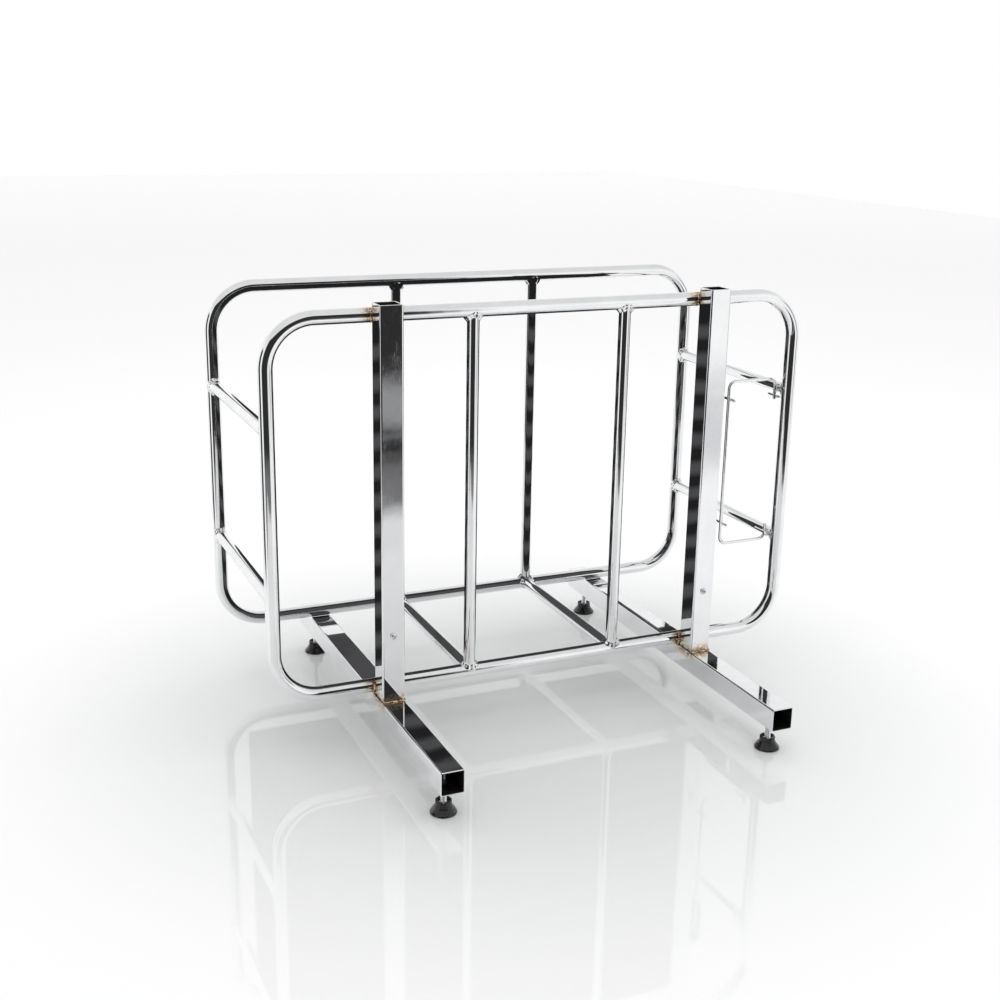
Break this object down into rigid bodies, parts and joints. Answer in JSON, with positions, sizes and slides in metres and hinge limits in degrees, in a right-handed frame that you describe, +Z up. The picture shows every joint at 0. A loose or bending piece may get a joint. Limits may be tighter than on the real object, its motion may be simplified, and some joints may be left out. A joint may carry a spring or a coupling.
{
  "type": "luggage rack",
  "caption": "Rigid chrome tube cage that holds a small suitcase on its long side, on two square uprights and feet with screw-in levelling glides and a wire sign holder.",
  "frame": {"origin": "on the floor under the middle of the two feet", "axes": "+X along the length of the bag, +Y from the uprights towards the back ring, +Z up"},
  "size_m": [0.5778, 0.444, 0.4365],
  "materials": {
    "chrome_tube": "polished chrome plating",
    "zinc_hardware": "bright zinc plating",
    "zinc_stud": "bright zinc plated thread",
    "black_plastic": "fine moulded satin"
  },
  "bodies": {
    "rack": {"front_ring": "chrome_tube", "front_bar_left": "chrome_tube", "front_bar_right": "chrome_tube", "back_ring": "chrome_tube", "back_bar_left": "chrome_tube", "back_bar_right": "chrome_tube", "cross_left_upper": "chrome_tube", "cross_left_lower": "chrome_tube", "bottom_cross_left": "chrome_tube", "upright_left": "chrome_tube", "foot_left": "chrome_tube", "cross_right_upper": "chrome_tube", "cross_right_lower": "chrome_tube", "bottom_cross_right": "chrome_tube", "upright_right": "chrome_tube", "foot_right": "chrome_tube", "sign_frame": "chrome_tube", "sign_pin_leg_upper": "chrome_tube", "sign_pin_leg_lower": "chrome_tube", "sign_pin_end_upper": "chrome_tube", "sign_pin_end_lower": "chrome_tube", "upright_screw_left": "zinc_hardware", "upright_screw_right": "zinc_hardware", "foot_nut_front_left": "zinc_hardware", "foot_nut_front_right": "zinc_hardware", "foot_nut_rear_left": "zinc_hardware", "foot_nut_rear_right": "zinc_hardware"},
    "stud_front_left": {"stud_front_left": "zinc_stud"},
    "glide_front_left": {"glide_front_left": "black_plastic"},
    "stud_front_right": {"stud_front_right": "zinc_stud"},
    "glide_front_right": {"glide_front_right": "black_plastic"},
    "stud_rear_left": {"stud_rear_left": "zinc_stud"},
    "glide_rear_left": {"glide_rear_left": "black_plastic"},
    "stud_rear_right": {"stud_rear_right": "zinc_stud"},
    "glide_rear_right": {"glide_rear_right": "black_plastic"}
  },
  "joints": [
    {"name": "glide_turn_front_left", "type": "hinge", "parent": "stud_front_left", "child": "glide_front_left", "pos_m": [-0.1725, -0.2, 0], "axis": [0, 0, 1], "range_deg": [-2162, 2162]},
    {"name": "stud_travel_front_left", "type": "slide", "parent": "rack", "child": "stud_front_left", "axis": [0, 0, 1], "range_m": [-0.006, 0.006]},
    {"name": "glide_turn_front_right", "type": "hinge", "parent": "stud_front_right", "child": "glide_front_right", "pos_m": [0.1725, -0.2, 0], "axis": [0, 0, 1], "range_deg": [-2162, 2162]},
    {"name": "stud_travel_front_right", "type": "slide", "parent": "rack", "child": "stud_front_right", "axis": [0, 0, 1], "range_m": [-0.006, 0.006]},
    {"name": "glide_turn_rear_left", "type": "hinge", "parent": "stud_rear_left", "child": "glide_rear_left", "pos_m": [-0.1725, 0.2, 0], "axis": [0, 0, 1], "range_deg": [-2162, 2162]},
    {"name": "stud_travel_rear_left", "type": "slide", "parent": "rack", "child": "stud_rear_left", "axis": [0, 0, 1], "range_m": [-0.006, 0.006]},
    {"name": "glide_turn_rear_right", "type": "hinge", "parent": "stud_rear_right", "child": "glide_rear_right", "pos_m": [0.1725, 0.2, 0], "axis": [0, 0, 1], "range_deg": [-2162, 2162]},
    {"name": "stud_travel_rear_right", "type": "slide", "parent": "rack", "child": "stud_rear_right", "axis": [0, 0, 1], "range_m": [-0.006, 0.006]}
  ],
  "couplings": [
    {"joint": "glide_turn_front_left", "follows": "stud_travel_front_left", "rad_per_m": 6283.2},
    {"joint": "glide_turn_front_right", "follows": "stud_travel_front_right", "rad_per_m": 6283.2},
    {"joint": "glide_turn_rear_left", "follows": "stud_travel_rear_left", "rad_per_m": 6283.2},
    {"joint": "glide_turn_rear_right", "follows": "stud_travel_rear_right", "rad_per_m": 6283.2}
  ]
}
